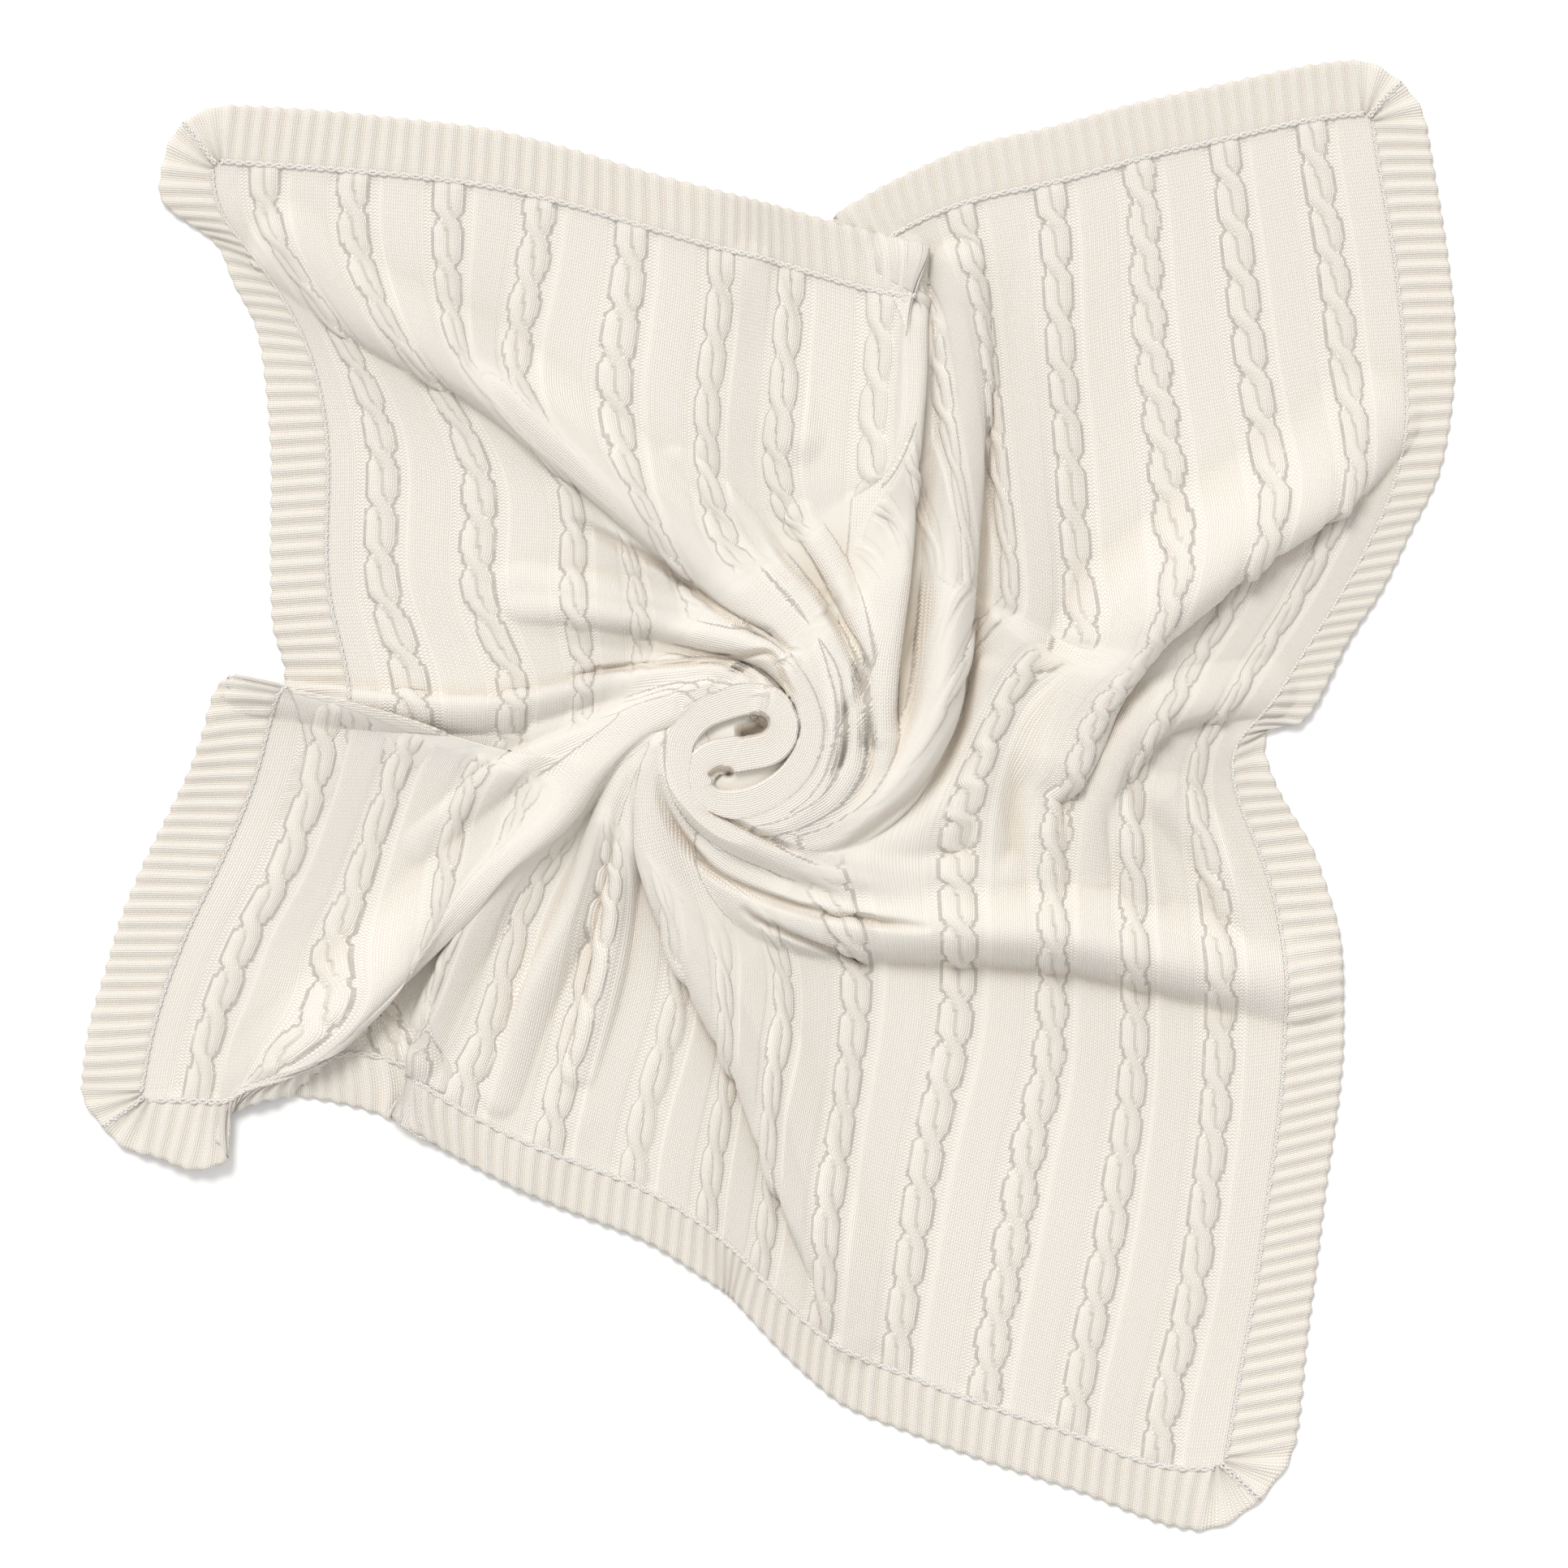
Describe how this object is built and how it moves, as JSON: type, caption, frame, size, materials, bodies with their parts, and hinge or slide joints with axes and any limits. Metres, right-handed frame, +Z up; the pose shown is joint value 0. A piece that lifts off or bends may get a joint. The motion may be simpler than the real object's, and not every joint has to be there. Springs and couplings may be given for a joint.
{
  "type": "knitted blanket",
  "caption": "Cot-size cable-knit blanket with a ribbed border, laid out nearly flat with its middle twisted into a swirl of folds.",
  "frame": {"origin": "on the surface the blanket lies on, under the middle of its bounding box", "axes": "+Z up out of the cloth, +Y towards the top edge along the length, +X towards the right-hand side"},
  "size_m": [0.8429, 0.9001, 0.055],
  "materials": {
    "cable_knit": "soft matt cotton yarn in a cable-knit stitch",
    "rib_knit": "soft matt cotton yarn in a two-by-two rib",
    "seam_yarn": "matt linking yarn in a chain stitch"
  },
  "bodies": {
    "root": {"cable_panel": "cable_knit", "rib_border_top": "rib_knit", "rib_border_right": "rib_knit", "rib_border_bottom": "rib_knit", "rib_border_left": "rib_knit", "linking_seam_top": "seam_yarn", "linking_seam_right": "seam_yarn", "linking_seam_bottom": "seam_yarn", "linking_seam_left": "seam_yarn", "corner_join_top_left": "seam_yarn", "corner_join_top_right": "seam_yarn", "corner_join_bottom_right": "seam_yarn", "corner_join_bottom_left": "seam_yarn"}
  },
  "joints": []
}
